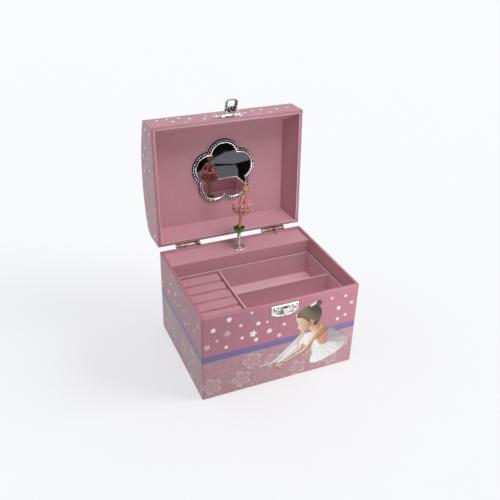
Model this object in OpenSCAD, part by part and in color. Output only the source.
// Wind-up music box: card box with a domed lid, a lift-out tray, a mirror and a dancer
// that turns on top of a small comb-and-drum movement. Millimetres, +Z up.
// Origin: middle of the underside of the body. Shown with the lid open.

/* [Body] */
// Width of the body, left to right
body_w = 152; // [150:1:156]
// Depth of the body, front to back
body_d = 120; // [118:1:124]
// Height of the body without the lid
body_h = 88; // [88:1:90]
// Thickness of the greyboard
board = 2; // [1.8:0.1:2.2]
// Thickness of the printed paper outside and of the lining paper inside
paper = 0.3; // [0.2:0.05:0.35]

/* [Lid] */
// How far the lid stands open, in degrees
lid_open = 93; // [88:1:95]
// Height of the top of the dome above the floor when the lid is closed
dome_top = 134; // [132:1:137]
// Radius of the dome
dome_r = 140; // [136:1:150]
// Depth of the flat inner panel behind the rim
panel_depth = 25.5; // [24:0.5:26]

/* [Mirror] */
// Radius from the middle of the mirror to the tip of a petal
mirror_r = 34; // [30:1:35]
// Number of petals
petals = 5; // [5:1:6]

/* [Tray] */
// Height of the tray rim above the floor
tray_top = 72; // [70:1:74]
// Height of the tray
tray_h = 24; // [20:1:26]
// Thickness of the tray card
tray_t = 1.6; // [1.2:0.1:2]
// Number of ring rolls
ring_count = 6; // [4:1:6]

/* [Platform] */
// Top of the platform above the floor
deck_top = 85.5; // [85:0.5:86]
// Distance of the front of the platform from the middle of the box
deck_front = 33; // [32:0.5:33.5]

/* [Dancer] */
// Left-right place of the spindle
spindle_x = 1; // [0:0.5:2]
// Front-back place of the spindle
spindle_y = 45.5; // [45:0.5:46]
// Direction that the dancer faces, in degrees from +X
dancer_turn = 138; // [0:1:359]

/* [Movement] */
// Height of the winding arbor above the floor
arbor_z = 50; // [48:1:52]
// Teeth of the crown gear on the spring barrel
crown_teeth = 40; // [40:4:40]
// Pitch radius of the crown gear
crown_r = 11; // [11:0.5:11]
// Teeth of the two pinions that mesh with the crown gear
pinion_teeth = 10; // [10:1:10]
// Teeth of the drum wheel
drum_teeth = 30; // [30:1:30]
// Teeth of the worm wheel
worm_teeth = 20; // [20:1:20]
// Teeth of the comb
comb_teeth = 18; // [12:1:22]

/* [Hidden] */
$fn = 48;

// body
half_w = body_w / 2;
half_d = body_d / 2;
wall = board + 2 * paper;
in_x = half_w - wall;
in_y = half_d - wall;
deck_t = 1.5;
deck_z = deck_top - deck_t;
rim_gap = 0.6;
lid_z = body_h + rim_gap;

// hinge
hinge_y = half_d + 2.4;
hinge_z = body_h + 0.3;
hinge_xs = [-46, 46];
hinge_w = 25;
knuckle_r = 1.8;
hinge_pin_r = 0.8;
leaf_t = 0.6;
nail_dx = 8.5;
nail_r = 0.6;
nail_len = 2.2;

// dome: a big arc with a small round at the front and a larger one at the back
dome_y = 8;
dome_z = dome_top - dome_r;
front_round = 5;
back_round = 14;
wall_top = 112.5;

// lid furniture
panel_z = lid_z + panel_depth;
panel_t = 1.2;
panel_x = 67;
panel_front = -44;
panel_back = 52.5;
lining_t = 0.8;
mirror_x = 2.5;
mirror_y = 1.5;
petal_r = 17.5;
bezel_w = 4.2;
bezel_t = 2.6;
glass_t = 1.4;

// hasp and latch, in the closed lid's frame
hasp_x = 1;
hasp_y = -half_d - 1.7;
hasp_z = 92.4;
hasp_len = 18.5;
hasp_w = 13;
hasp_t = 0.8;
hasp_swing = 70;
staple_w = 5.6;
staple_z0 = 76.6;
staple_z1 = 81.8;

// tray
tray_gap = 0.5;
tray_x = in_x - tray_gap;
tray_y0 = -in_y + tray_gap;
tray_y1 = deck_front - tray_gap;
tray_z = tray_top - tray_h;
part_x = -26;
divider_y = -12;
ledge_w = 4;
ledge_drop = 0.2;

// movement, seen from the front: the bedplate stands against the back lining
plate_t = 1.6;
plate_y = in_y - plate_t;
tooth_h = 1.1;
pinion_r = crown_r * pinion_teeth / crown_teeth;
barrel_r = 12.5;
barrel_y0 = spindle_y + pinion_r + 0.9;
barrel_y1 = barrel_y0 + 5;
arbor_r = 2;
drum_r = 6.5;
drum_x0 = 16.6;
drum_x1 = 40.4;
gear_r = 7.5;
gov_pinion_r = 2.5;
gov_y = 43.5;
gov_z = arbor_z + sqrt(pow(gear_r + gov_pinion_r, 2) - pow(spindle_y - gov_y, 2));
worm_r = 2;
wheel_r = 6;
worm_x = 47.6;
worm_y = gov_y + wheel_r + worm_r;
worm_pitch = 2 * PI * wheel_r / worm_teeth;
fan_z = 68.6;
fan_h = 4;
strip_x = 47.6;
strip_y = in_y - 1;
strip_t = 0.5;
fit = 0.05;
screw_spots = [[-12, 29], [48, 29], [-12, 62]];

// dancer
pivot_z = 89.2;
spring_r = 1.85;
cup_z = 101.5;
waist_z = 135;
head_z = 148.7;
lean = 6;
tutu_side = [[2.8, -7], [5, -8], [9.6, -10.5], [10, -8.5], [8, -4.5], [4.4, -1.4], [2.8, -0.6]];

// A point at radius r and angle a round the centre c
function polar(c, r, a) = [c.x + r * cos(a), c.y + r * sin(a)];

// Points of an arc from angle a to angle b in n steps
function arc(c, r, a, b, n) = [for (i = [0:n]) polar(c, r, a + (b - a) * i / n)];

// Centre height of a corner round of radius r whose centre stands at y
function round_z(y, r) = dome_z + sqrt(pow(dome_r - r, 2) - pow(y - dome_y, 2));

// Side view of the dome from the wall top upward, moved in by t
function dome_outline(t) =
    let (cf = [-half_d + front_round, round_z(-half_d + front_round, front_round)],
        cb = [half_d - back_round, round_z(half_d - back_round, back_round)],
        af = atan2(cf.y - dome_z, cf.x - dome_y),
        ab = atan2(cb.y - dome_z, cb.x - dome_y))
    concat(arc(cb, back_round - t, 0, ab, 10), arc([dome_y, dome_z], dome_r - t, ab, af, 24),
        arc(cf, front_round - t, af, 180, 6));

// Closed side view of the lid from height z0 upward, moved in by t
function lid_outline(t, z0) =
    concat([[-half_d + t, z0], [half_d - t, z0]], dome_outline(t));

// Stands a YZ drawing up and extrudes it along X between x0 and x1
module along_x(x0, x1) {
    translate([x0, 0, 0]) rotate([90, 0, 90]) linear_extrude(x1 - x0) children();
}

// Stands an XZ drawing up and extrudes it along Y between y0 and y1
module along_y(y0, y1) {
    translate([0, y1, 0]) rotate([90, 0, 0]) linear_extrude(y1 - y0) children();
}

// A block between two corners
module block(a, b) {
    translate(a) cube([b.x - a.x, b.y - a.y, b.z - a.z]);
}

// Turns a closed-lid piece to the open lid
module open_lid() {
    translate([0, hinge_y, hinge_z]) rotate([-lid_open, 0, 0])
        translate([0, -hinge_y, -hinge_z]) children();
}

// A flat-topped gear outline, with tooth number 0 at angle phase
module gear_outline(n, r, add, ded, tip, root, phase) {
    polygon([for (i = [0:n - 1]) for (p = [[r - ded, -root / 2], [r + add, -tip / 2],
        [r + add, tip / 2], [r - ded, root / 2]])
        let (a = phase + i * 360 / n)
        [p.x * cos(a) - p.y * sin(a), p.x * sin(a) + p.y * cos(a)]]);
}

// ---- body ----

module base_board() {
    color("#9c8f86") block([-half_w + paper, -half_d + paper, 0],
        [half_w - paper, half_d - paper, board]);
}

module wall_panel(y0, y1) {
    block([-half_w + paper, y0, board], [half_w - paper, y1, body_h - paper]);
}

module front_wall() {
    color("#b5a79c") difference() {
        wall_panel(-half_d + paper, -in_y - paper);
        latch_holes();
    }
}

module back_wall() {
    color("#b5a79c") difference() {
        wall_panel(in_y + paper, half_d - paper);
        back_holes();
    }
}

// Holes in the back for the winding arbor, the movement screws and the hinge nails
module back_holes() {
    along_y(in_y - 1, half_d + 1) {
        translate([spindle_x, arbor_z]) circle(r = 3);
        for (s = screw_spots) translate(s) circle(r = 1.05);
        for (h = hinge_xs) for (s = [-1, 1]) translate([h + s * nail_dx, body_h - 7])
            circle(r = nail_r + fit);
    }
}

module latch_holes() {
    along_y(-half_d - 1, -in_y + 1)
        for (s = [-1, 1]) translate([hasp_x + s * 9.5, 79.5]) circle(r = 0.8 + fit);
}

module side_walls() {
    color("#b5a79c") for (s = [-1, 1])
        translate([s * (half_w - paper - board / 2), 0, 0])
            block([-board / 2, -in_y - paper, board], [board / 2, in_y + paper, body_h - paper]);
}

// Printed paper: a sleeve round the four walls, turned over the rim
module body_wrap() {
    color("#d583a0") difference() {
        block([-half_w, -half_d, 0], [half_w, half_d, body_h]);
        block([-half_w + paper, -half_d + paper, -1],
            [half_w - paper, half_d - paper, body_h - paper]);
        block([-in_x, -in_y, 0], [in_x, in_y, body_h + 1]);
        back_holes();
        latch_holes();
    }
}

module body_lining() {
    color("#c98095") difference() {
        block([-in_x - paper, -in_y - paper, board], [in_x + paper, in_y + paper, body_h - paper]);
        block([-in_x, -in_y, 0], [in_x, in_y, body_h]);
        back_holes();
        latch_holes();
    }
}

// ---- platform ----

module platform() {
    color("#c9889c") difference() {
        block([-in_x, deck_front, deck_z], [in_x, in_y, deck_top]);
        translate([spindle_x, spindle_y, deck_z - 1]) cylinder(r = 3, h = deck_t + 2);
        block([strip_x - 2, strip_y - 0.4, deck_z - 1],
            [strip_x + 2, strip_y + strip_t + 0.4, deck_top + 1]);
    }
}

module platform_front() {
    color("#b9748a") block([-in_x, deck_front, board], [in_x, deck_front + 1.5, deck_z]);
}

module tray_ledges() {
    color("#b9748a") for (s = [-1, 1])
        translate([s * (in_x - ledge_w / 2), 0, 0])
            block([-ledge_w / 2, -in_y, tray_z - 4], [ledge_w / 2, deck_front, tray_z - ledge_drop]);
}

// Petalled flange with a hub through the platform
module rosette() {
    color("silver") translate([spindle_x, spindle_y, 0]) difference() {
        union() {
            translate([0, 0, deck_top]) linear_extrude(0.8) {
                circle(r = 5);
                for (i = [0:7]) rotate(i * 45) translate([5, 0]) circle(r = 2.2);
            }
            translate([0, 0, deck_z - 3]) cylinder(r = 2.95, h = deck_t + 3);
            translate([0, 0, deck_top]) cylinder(r = 2.9, h = 1.4);
        }
        translate([0, 0, deck_z - 5]) cylinder(r = 1.5 + fit, h = 12);
    }
}

// ---- tray ----

module tray_floor() {
    color("#c4808f") block([-tray_x, tray_y0, tray_z], [tray_x, tray_y1, tray_z + tray_t]);
}

module tray_long_walls() {
    color("#c4808f") for (y = [tray_y0, tray_y1 - tray_t])
        block([-tray_x, y, tray_z + tray_t], [tray_x, y + tray_t, tray_top]);
}

module tray_end_walls() {
    color("#c4808f") for (x = [-tray_x, tray_x - tray_t])
        block([x, tray_y0 + tray_t, tray_z + tray_t], [x + tray_t, tray_y1 - tray_t, tray_top]);
}

module tray_partition() {
    color("#c4808f") block([part_x - tray_t / 2, tray_y0 + tray_t, tray_z + tray_t],
        [part_x + tray_t / 2, tray_y1 - tray_t, tray_top - 0.4]);
}

module tray_divider() {
    color("#c4808f") block([part_x + tray_t / 2, divider_y - tray_t / 2, tray_z + tray_t],
        [tray_x - tray_t, divider_y + tray_t / 2, tray_top - 1]);
}

// Side view of one ring roll: straight sides and a rounded top
function roll_outline(w, z0, z1, rise) =
    concat([[-w / 2, z0], [w / 2, z0]],
        [for (i = [0:12]) let (a = i * 15)
            [w / 2 * cos(a), z1 - rise + rise * sin(a)]]);

module ring_rolls() {
    room = tray_y1 - tray_y0 - 2 * tray_t - 0.4;
    pitch = room / ring_count;
    color("#d59aac") for (i = [0:ring_count - 1])
        translate([0, tray_y0 + tray_t + 0.2 + pitch * (i + 0.5), 0])
            along_x(-tray_x + tray_t + 0.2, part_x - tray_t / 2 - 0.6)
                polygon(roll_outline(pitch - 0.4, tray_z + tray_t, tray_top - 0.8, 5.5));
}

// ---- hinges ----

// One knuckle with its bore
module knuckle(x0, x1, bore) {
    along_x(x0, x1) translate([hinge_y, hinge_z]) difference() {
        circle(r = knuckle_r);
        circle(r = bore);
    }
}

module hinge_leaves_body() {
    third = hinge_w / 3;
    color("silver") for (h = hinge_xs) translate([h, 0, 0]) {
        difference() {
            block([-hinge_w / 2, half_d, body_h - 11.5], [hinge_w / 2, half_d + leaf_t, body_h - 0.5]);
            along_y(half_d - 1, half_d + 2) for (s = [-1, 1])
                translate([s * nail_dx, body_h - 7]) circle(r = nail_r + fit);
        }
        for (s = [-1, 1]) {
            x0 = s > 0 ? third / 2 + 0.1 : -hinge_w / 2;
            x1 = s > 0 ? hinge_w / 2 : -third / 2 - 0.1;
            knuckle(x0, x1, hinge_pin_r);
            block([x0, half_d, body_h - 1.6], [x1, half_d + 1.5, body_h - 0.5]);
            block([x0, hinge_y + 1.2, hinge_z + 0.1], [x1, hinge_y + 3.1, hinge_z + 1.3]);
        }
    }
}

module hinge_pins() {
    color("gray") for (h = hinge_xs)
        along_x(h - hinge_w / 2 - 0.3, h + hinge_w / 2 + 0.3)
            translate([hinge_y, hinge_z]) circle(r = hinge_pin_r);
}

module hinge_leaves_lid() {
    third = hinge_w / 3;
    color("silver") open_lid() for (h = hinge_xs) translate([h, 0, 0]) {
        difference() {
            block([-hinge_w / 2, half_d, lid_z + 0.7], [hinge_w / 2, half_d + leaf_t, lid_z + 11.5]);
            along_y(half_d - 1, half_d + 2) for (s = [-1, 1])
                translate([s * nail_dx, lid_z + 7]) circle(r = nail_r + fit);
        }
        knuckle(-third / 2 + 0.1, third / 2 - 0.1, hinge_pin_r + fit);
        block([-third / 2 + 0.1, half_d, lid_z + 0.7], [third / 2 - 0.1, half_d + 1.5, lid_z + 1.4]);
    }
}

// A dome-headed nail driven from the back, its shank pointing to the front
module nail(x, z) {
    translate([x, half_d + leaf_t, z]) rotate([90, 0, 0]) cylinder(r = nail_r, h = nail_len);
    translate([x, half_d + leaf_t, z]) rotate([-90, 0, 0]) cylinder(r1 = 1.3, r2 = 0.8, h = 0.5);
}

module hinge_nails_body() {
    color("silver") for (h = hinge_xs) for (s = [-1, 1]) nail(h + s * nail_dx, body_h - 7);
}

module hinge_nails_lid() {
    color("silver") open_lid() for (h = hinge_xs) for (s = [-1, 1])
        nail(h + s * nail_dx, lid_z + 7);
}

// ---- latch and hasp ----

module latch_plate() {
    color("silver") along_y(-half_d - 0.7, -half_d) translate([hasp_x, 0]) difference() {
        union() {
            translate([-13.5, 78]) square([27, 7]);
            translate([-13.5, 76]) square([27, 3]);
            intersection() {
                translate([0, 98]) circle(r = 25.6, $fn = 120);
                translate([-13.5, 70]) square([27, 8]);
            }
        }
        for (s = [-1, 1]) translate([s * 9.5, 79.5]) circle(r = 0.8 + fit);
    }
}

// The raised lug that the hasp window slips over
module latch_staple() {
    color("silver") translate([hasp_x, 0, 0]) difference() {
        block([-staple_w / 2, -half_d - 3.6, staple_z0], [staple_w / 2, -half_d - 0.7, staple_z1]);
        translate([0, -half_d - 2.4, staple_z0 - 1]) cylinder(r = 0.9, h = 8);
    }
}

// A rivet with a domed head, from a plate at y0 back through the wall
module rivet(x, y0, z, len) {
    translate([x, y0, z]) rotate([-90, 0, 0]) cylinder(r = 0.8, h = len);
    translate([x, y0, z]) rotate([90, 0, 0]) cylinder(r1 = 1.7, r2 = 0.9, h = 0.8);
}

module latch_rivets() {
    color("silver") for (s = [-1, 1]) rivet(hasp_x + s * 9.5, -half_d - 0.7, 79.5, 0.7 + wall);
}

module hasp_plate() {
    color("silver") open_lid() translate([hasp_x, 0, 0]) {
        along_y(-half_d - 0.7, -half_d) difference() {
            union() {
                translate([-13, 94.2]) square([26, 5.8]);
                translate([-13, 97.1]) circle(r = 2.9);
                translate([13, 97.1]) circle(r = 2.9);
                translate([-8.2, 91.6]) square([16.4, 3]);
            }
            for (s = [-1, 1]) translate([s * 11.5, 97.1]) circle(r = 0.8 + fit);
            translate([-4.6, 91]) square([9.2, 3.2]);
        }
        for (s = [-1, 1]) {
            x0 = s > 0 ? 4.7 : -8.1;
            along_x(x0, x0 + 3.4) difference() {
                union() {
                    translate([hasp_y, hasp_z]) circle(r = 1.15);
                    translate([hasp_y, hasp_z - 0.8]) square([1.1, 1.6]);
                }
                translate([hasp_y, hasp_z]) circle(r = 0.5);
            }
        }
    }
}

module hasp_pin() {
    color("gray") open_lid() along_x(hasp_x - 8.3, hasp_x + 8.3)
        translate([hasp_y, hasp_z]) circle(r = 0.5);
}

module hasp_rivets() {
    color("silver") open_lid() for (s = [-1, 1])
        rivet(hasp_x + s * 11.5, -half_d - 0.7, 97.1, 0.7 + wall);
}

// The hasp hangs down over the latch when closed; here it is swung most of the way out
module hasp_tab() {
    color("silver") open_lid() translate([0, hasp_y, hasp_z]) rotate([-hasp_swing, 0, 0])
        translate([hasp_x, 0, 0]) {
            along_x(-4.5, 4.5) difference() {
                circle(r = 1.15);
                circle(r = 0.5 + fit);
            }
            along_y(-1.15, -1.15 + hasp_t) difference() {
                union() {
                    translate([-4.5, -2.5]) square([9, 1.85]);
                    translate([-hasp_w / 2, -hasp_len + 4]) square([hasp_w, hasp_len - 6]);
                    translate([-hasp_w / 2 + 3, -hasp_len + 1]) square([hasp_w - 6, 4]);
                    for (s = [-1, 1]) translate([s * (hasp_w / 2 - 3), -hasp_len + 4]) circle(r = 3);
                }
                translate([-staple_w / 2 - 0.5, staple_z0 - hasp_z - 0.5])
                    square([staple_w + 1, staple_z1 - staple_z0 + 1]);
            }
        }
}

// ---- lid ----

module lid_front_wall() {
    color("#b5a79c") open_lid() difference() {
        block([-half_w + paper + board, -half_d + paper, lid_z + paper],
            [half_w - paper - board, -half_d + paper + board, wall_top]);
        hasp_holes();
    }
}

module hasp_holes() {
    along_y(-half_d - 1, -in_y + 1)
        for (s = [-1, 1]) translate([hasp_x + s * 11.5, 97.1]) circle(r = 0.8 + fit);
}

module lid_nail_holes() {
    along_y(in_y - 1, half_d + 1) for (h = hinge_xs) for (s = [-1, 1])
        translate([h + s * nail_dx, lid_z + 7]) circle(r = nail_r + fit);
}

module lid_back_wall() {
    color("#b5a79c") open_lid() difference() {
        block([-half_w + paper + board, half_d - paper - board, lid_z + paper],
            [half_w - paper - board, half_d - paper, wall_top]);
        lid_nail_holes();
    }
}

module lid_ends() {
    color("#b5a79c") open_lid() for (x = [-half_w + paper, half_w - paper - board])
        along_x(x, x + board) polygon(lid_outline(paper, lid_z + paper));
}

// The bent board between the two ends, on top of the front and back walls
module lid_dome() {
    color("#b5a79c") open_lid() along_x(-half_w + paper + board, half_w - paper - board)
        difference() {
            polygon(lid_outline(paper, wall_top));
            polygon(lid_outline(paper + board, wall_top - 1));
        }
}

module lid_wrap() {
    color("#d583a0") open_lid() difference() {
        along_x(-half_w, half_w) polygon(lid_outline(0, lid_z));
        along_x(-half_w + paper, half_w - paper) polygon(lid_outline(paper, lid_z + paper));
        block([-in_x, -in_y, lid_z - 1], [in_x, in_y, lid_z + 1]);
        hasp_holes();
        lid_nail_holes();
    }
}

// Four lining cards that slope in from the rim to the flat panel
module lid_inner_frame() {
    z0 = lid_z + paper;
    z1 = panel_z;
    color("#cf8ba0") open_lid() {
        for (s = [-1, 1]) along_y(-in_y, in_y)
            polygon([[s * in_x, z0], [s * panel_x, z1], [s * (panel_x + lining_t), z1],
                [s * in_x, z0 + 3]]);
        along_x(-in_x + 1, in_x - 1)
            polygon([[-in_y, z0], [panel_front, z1], [panel_front - lining_t * 1.3, z1],
                [-in_y, z0 + 2]]);
        along_x(-in_x + 1, in_x - 1)
            polygon([[in_y, z0], [panel_back, z1], [panel_back + lining_t, z1],
                [in_y, z0 + 3]]);
    }
}

module lid_inner_panel() {
    color("#cf8ba0") open_lid() block([-panel_x - 1, panel_front - 1, panel_z],
        [panel_x + 1, panel_back + 1, panel_z + panel_t]);
}

// Flower of round petals, with a notch toward the hinge
module flower(inset) {
    for (i = [0:petals - 1]) rotate(-90 + i * 360 / petals)
        translate([mirror_r - petal_r, 0]) circle(r = petal_r - inset, $fn = 90);
    circle(r = mirror_r - petal_r, $fn = 90);
}

module mirror_bezel() {
    color("silver") open_lid() translate([mirror_x, mirror_y, panel_z - bezel_t])
        linear_extrude(bezel_t) difference() {
            flower(0);
            flower(bezel_w);
        }
}

module mirror_glass() {
    color("#2c2f33") open_lid() translate([mirror_x, mirror_y, panel_z - glass_t])
        linear_extrude(glass_t) flower(bezel_w);
}

// ---- movement ----

// Cast bedplate with the comb seat, the drum brackets and the spindle arm
module bedplate() {
    color("#b9b3a6") difference() {
        union() {
            block([-16, plate_y, 25], [53, in_y, 67]);
            block([18, spindle_y + 0.7, 26.5], [39, plate_y, 32.5]);
            for (x = [14.4, 43.4]) block([x, 41.5, 45], [x + 1.2, plate_y, 55]);
            block([43.4, 40.5, 55], [44.6, plate_y, gov_z + 3]);
            block([spindle_x - 4, 41.5, 64], [spindle_x + 4, plate_y, 65.6]);
        }
        along_y(plate_y - 1, in_y + 1) {
            translate([spindle_x, arbor_z]) circle(r = arbor_r + fit);
            for (s = screw_spots) translate(s) circle(r = 1);
        }
        along_x(10, 46) translate([spindle_y, arbor_z]) circle(r = 1 + fit);
        along_x(40, 46) translate([gov_y, gov_z]) circle(r = 0.8 + fit);
        translate([spindle_x, spindle_y, 60]) cylinder(r = 1.5 + fit, h = 8);
        along_y(spindle_y, spindle_y + 5) for (x = [22, 35]) translate([x, 29.5]) circle(r = 0.9);
    }
}

// Brass bracket that carries the outer end of the worm wheel and both ends of the worm
module governor_bracket() {
    color("#c9a557") difference() {
        union() {
            block([50.4, 41.5, 52], [51.4, plate_y, 66.2]);
            block([45.6, 49.6, 52], [50.4, plate_y, 53]);
            block([45.6, 49.6, 65.2], [50.4, plate_y, 66.2]);
        }
        along_x(50, 52) translate([gov_y, gov_z]) circle(r = 0.8 + fit);
        translate([worm_x, worm_y, 51]) cylinder(r = 0.7 + fit, h = 18);
    }
}

// Steel comb: a base and a row of tuned teeth that reach up to the drum pins
module comb() {
    x0 = 16.8;
    x1 = 40.2;
    pitch = (x1 - x0) / comb_teeth;
    tip_z = arbor_z - drum_r - 0.75;
    color("#9aa0a6") along_y(spindle_y - 0.3, spindle_y + 0.7) difference() {
        union() {
            translate([x0, 26]) square([x1 - x0, 8]);
            for (i = [0:comb_teeth - 1]) translate([x0 + pitch * (i + 0.1), 33])
                square([pitch * 0.8, tip_z - 33]);
        }
        for (x = [22, 35]) translate([x, 29.5]) circle(r = 1);
    }
}

module comb_screws() {
    color("#8b7d5a") for (x = [22, 35]) translate([x, spindle_y - 0.3, 29.5]) difference() {
        union() {
            rotate([90, 0, 0]) cylinder(r = 2.2, h = 1.2);
            rotate([-90, 0, 0]) cylinder(r = 0.9, h = 5);
        }
        block([-2.5, -1.3, -0.25], [2.5, -0.7, 0.25]);
    }
}

module movement_screws() {
    color("silver") for (s = screw_spots) translate([s.x, half_d, s.y]) difference() {
        union() {
            rotate([-90, 0, 0]) cylinder(r1 = 2.4, r2 = 1.6, h = 0.9);
            rotate([90, 0, 0]) cylinder(r = 1, h = wall + plate_t - 0.2);
        }
        block([-2.5, 0.4, -0.25], [2.5, 1, 0.25]);
        block([-0.25, 0.4, -2.5], [0.25, 1, 2.5]);
    }
}

// Spring barrel: a cup open to the back, with crown teeth on its front face
module spring_barrel() {
    color("#c9a557") {
        along_y(barrel_y0, barrel_y0 + 0.9) difference() {
            translate([spindle_x, arbor_z]) circle(r = barrel_r);
            translate([spindle_x, arbor_z]) circle(r = arbor_r + fit);
        }
        along_y(barrel_y0 + 0.9, barrel_y1) translate([spindle_x, arbor_z]) difference() {
            circle(r = barrel_r);
            circle(r = barrel_r - 0.8);
        }
        for (i = [0:crown_teeth - 1]) translate([spindle_x, 0, arbor_z])
            rotate([0, i * 360 / crown_teeth, 0]) along_x(crown_r - 1, crown_r + 1)
                polygon([[barrel_y0 + 0.3, -0.36], [barrel_y0 + 0.3, 0.36],
                    [barrel_y0 - tooth_h, 0.2], [barrel_y0 - tooth_h, -0.2]]);
    }
}

// Spiral strip of spring steel inside the barrel
module mainspring() {
    turns = 6;
    r0 = 3.4;
    r1 = barrel_r - 1.2;
    t = 0.35;
    steps = 96;
    color("#6f747a") along_y(barrel_y0 + 1.3, barrel_y1 - 0.3) translate([spindle_x, arbor_z])
        polygon(concat(
            [for (i = [0:steps]) polar([0, 0], r0 + (r1 - r0) * i / steps, 360 * turns * i / steps)],
            [for (i = [steps:-1:0]) polar([0, 0], r0 + t + (r1 - r0) * i / steps,
                360 * turns * i / steps)]));
}

module winding_arbor() {
    color("gray") {
        along_y(barrel_y0 - 0.6, half_d + 3) translate([spindle_x, arbor_z]) circle(r = arbor_r);
        along_y(barrel_y1 + 0.3, plate_y - 0.3) translate([spindle_x, arbor_z]) difference() {
            circle(r = 3.2);
            circle(r = arbor_r);
        }
    }
}

// Two-winged key on the outer end of the arbor
module winding_key() {
    color("silver") translate([spindle_x, 0, arbor_z]) {
        difference() {
            along_y(half_d + 1, half_d + 9) circle(r = 3.2);
            along_y(half_d, half_d + 3) circle(r = arbor_r);
        }
        translate([0, half_d + 8, -0.8])
            linear_extrude(1.6) difference() {
                union() {
                    for (s = [-1, 1]) translate([s * 6.5, 5.5]) circle(r = 6);
                    translate([-3, -1]) square([6, 8]);
                }
                for (s = [-1, 1]) translate([s * 6.8, 5.8]) circle(r = 2.6);
            }
    }
}

module drum() {
    color("#c9a557") along_x(drum_x0, drum_x1) translate([spindle_y, arbor_z]) difference() {
        circle(r = drum_r);
        circle(r = 1);
    }
}

// Tune pins: one ring for each comb tooth, placed by a repeating step
module drum_pins() {
    pitch = (40.2 - 16.8) / comb_teeth;
    color("#d8d2c0") for (i = [0:comb_teeth - 1]) for (k = [0:2])
        translate([16.8 + pitch * (i + 0.5), spindle_y, arbor_z])
            rotate([i * 67 + k * 131 + 20, 0, 0]) translate([0, 0, drum_r])
                cylinder(r = 0.25, h = 0.6, $fn = 16);
}

module drum_arbor() {
    color("#c9a557") {
        along_x(10.4, 45.2) translate([spindle_y, arbor_z]) circle(r = 1);
        along_x(spindle_x + crown_r - 1, spindle_x + crown_r + 1) translate([spindle_y, arbor_z])
            gear_outline(pinion_teeth, pinion_r, 0.5, 0.75, 0.32, 0.62, 180 / pinion_teeth);
        along_x(41.3, 42.5) translate([spindle_y, arbor_z])
            gear_outline(drum_teeth, gear_r, 0.45, 0.6, 0.35, 0.75,
                atan2(gov_z - arbor_z, gov_y - spindle_y));
    }
}

// Governor arbor with its pinion and the worm wheel
module governor_gear() {
    color("#c9a557") {
        along_x(40.4, 51.6) translate([gov_y, gov_z]) circle(r = 0.8);
        along_x(41.2, 42.6) translate([gov_y, gov_z])
            gear_outline(10, gov_pinion_r, 0.42, 0.65, 0.35, 0.7,
                atan2(gov_z - arbor_z, gov_y - spindle_y) + 180 + 18);
        along_x(worm_x - 0.6, worm_x + 0.6) translate([gov_y, gov_z])
            gear_outline(worm_teeth, wheel_r, 0.4, 0.7, 0.4, 0.85, 0);
    }
}

// Worm: a steel shaft with one thread wound round it
module worm() {
    steps = 16;
    turns = 4;
    n = steps * turns;
    z0 = gov_z - worm_pitch / 2 - worm_pitch * turns / 2;
    section = [[1.1, -0.5], [2.45, -0.2], [2.45, 0.2], [1.1, 0.5]];
    rings = [for (i = [0:n]) let (a = -90 + 360 * i / steps) for (p = section)
        [p.x * cos(a), p.x * sin(a), z0 + worm_pitch * i / steps + p.y]];
    sides = [for (i = [0:n - 1]) for (j = [0:3]) let (a = 4 * i + j, b = 4 * i + (j + 1) % 4)
        for (f = [[a, b, b + 4], [a, b + 4, a + 4]]) f];
    color("#9aa0a6") translate([worm_x, worm_y, 0]) {
        polyhedron(points = rings, faces = concat([[3, 2, 1, 0]], sides,
            [[4 * n, 4 * n + 1, 4 * n + 2, 4 * n + 3]]), convexity = 8);
        translate([0, 0, 53.4]) cylinder(r = 1.35, h = 11.4);
        translate([0, 0, 51.6]) cylinder(r = 0.7, h = 20.6);
    }
}

// Air-brake fan on the top of the worm shaft
module fan() {
    color("#c9a557") translate([worm_x, worm_y, fan_z]) difference() {
        union() {
            cylinder(r = 1.6, h = fan_h);
            for (s = [0, 180]) rotate([0, 0, s + 20]) translate([1.2, -0.2, 0.4]) cube([3.8, 0.4, 3]);
        }
        translate([0, 0, -1]) cylinder(r = 0.7, h = fan_h + 0.6);
    }
}

// Turning spindle: its pinion meshes with the top of the crown gear
module spindle() {
    color("silver") translate([spindle_x, spindle_y, 0]) {
        translate([0, 0, arbor_z + crown_r - 1.6]) cylinder(r = 1.5, h = 87.2 - arbor_z - crown_r + 1.6);
        translate([0, 0, arbor_z + crown_r - 1]) linear_extrude(2)
            gear_outline(pinion_teeth, pinion_r, 0.5, 0.75, 0.32, 0.62, 0);
    }
}

// Flat strip that the closing lid presses down on the fan
module stop_strip() {
    color("silver") {
        block([strip_x - 1.5, strip_y, 76], [strip_x + 1.5, strip_y + strip_t, lid_z + 2.9]);
        block([strip_x - 1.5, strip_y, lid_z + 2.4], [strip_x + 1.5, half_d - 1, lid_z + 2.9]);
        block([strip_x - 1.5, worm_y - 1, 76], [strip_x + 1.5, strip_y, 76.5]);
    }
}

// ---- dancer ----

// Close-coiled spring that lets the dancer fold under the lid
module dancer_spring() {
    coils = 20;
    wire = (cup_z - pivot_z - 0.6) / coils;
    color("silver") translate([spindle_x, spindle_y, pivot_z + 0.6]) rotate_extrude() polygon(
        concat([[1.3, 0]], [for (i = [0:coils - 1]) for (p = [[1.6, 0.05], [spring_r, 0.5], [1.6, 0.95]])
            [p.x, (i + p.y) * wire]], [[1.3, coils * wire]]));
}

// Cup of green leaves that hides the top of the spring
module leaf_cup() {
    color("#2f8f3a") translate([spindle_x, spindle_y, cup_z]) difference() {
        union() {
            cylinder(r1 = 2.6, r2 = 5, h = 3.4);
            translate([0, 0, 3.4]) cylinder(r1 = 5, r2 = 5.4, h = 4);
        }
        translate([0, 0, 1.4]) cylinder(r1 = 2.2, r2 = 3.6, h = 7);
        translate([0, 0, -1]) cylinder(r = 1.2, h = 4);
    }
}

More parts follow.
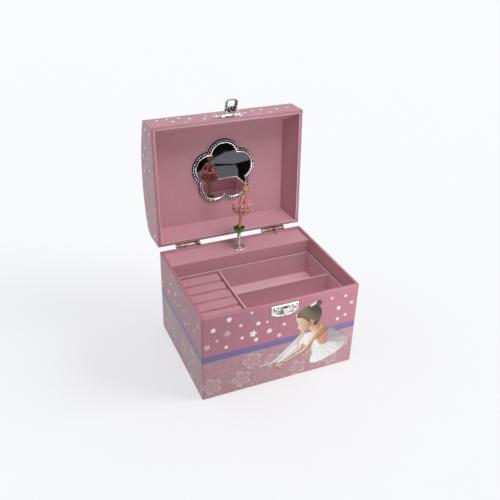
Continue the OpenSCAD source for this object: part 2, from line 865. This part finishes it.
// Moulded figure with the pin under its feet, in a frame that faces +X
module dancer_figure() {
    shoulder_z = waist_z + 8.4;
    color("#e3b07f") {
        translate([spindle_x, spindle_y, cup_z - 6]) cylinder(r = 1.2, h = 9);
        leaning() {
            for (s = [-1, 1]) translate([0, s * 1.1, cup_z + 1.6]) cylinder(r1 = 0.9, r2 = 1.2, h = 21.4);
            translate([0, 0, waist_z - 13]) {
                cylinder(r1 = 2.2, r2 = 2.5, h = 7);
                translate([0, 0, 7]) cylinder(r1 = 2.5, r2 = 2, h = 6);
                translate([0, 0, 13]) cylinder(r1 = 2, r2 = 2.9, h = 6.4);
                translate([0, 0, 19.4]) cylinder(r1 = 2.9, r2 = 1.1, h = 2.2);
                translate([0, 0, 20]) cylinder(r = 1, h = 5);
            }
            translate([-0.9, 0, head_z]) sphere(r = 3.2);
            translate([-4.6, 0, head_z + 0.8]) sphere(r = 2);
            for (s = [-1, 1]) translate([-0.8, s * 2.2, shoulder_z - 2]) {
                rotate([s * -130, 0, 0]) cylinder(r1 = 0.95, r2 = 0.8, h = 7.5);
                translate([0, s * 5.7, -4.8]) sphere(r = 0.85);
                translate([0, s * 5.7, -4.8]) rotate([s * -170, 30, 0]) cylinder(r1 = 0.8, r2 = 0.6, h = 8);
            }
        }
    }
}

// Ruffled skirt: a shallow bell with a hole round the waist
module dancer_tutu() {
    color("#e58aa5") leaning() rotate_extrude()
        polygon([for (p = tutu_side) [p.x, waist_z + p.y]]);
}

// Turns the upright figure to its place and leans it back from its feet in the leaf cup
module leaning() {
    translate([spindle_x, spindle_y, cup_z + 1.6]) rotate([0, -lean, dancer_turn])
        translate([0, 0, -cup_z - 1.6]) children();
}

base_board();
front_wall();
back_wall();
side_walls();
body_wrap();
body_lining();
platform();
platform_front();
tray_ledges();
rosette();
hinge_leaves_body();
hinge_pins();
hinge_nails_body();
latch_plate();
latch_staple();
latch_rivets();
bedplate();
governor_bracket();
comb();
comb_screws();
movement_screws();
lid_front_wall();
lid_back_wall();
lid_ends();
lid_dome();
lid_wrap();
lid_inner_frame();
lid_inner_panel();
mirror_bezel();
mirror_glass();
hinge_leaves_lid();
hinge_nails_lid();
hasp_plate();
hasp_pin();
hasp_rivets();
hasp_tab();
tray_floor();
tray_long_walls();
tray_end_walls();
tray_partition();
tray_divider();
ring_rolls();
spring_barrel();
mainspring();
winding_arbor();
winding_key();
drum();
drum_pins();
drum_arbor();
governor_gear();
worm();
fan();
spindle();
stop_strip();
dancer_spring();
leaf_cup();
dancer_figure();
dancer_tutu();
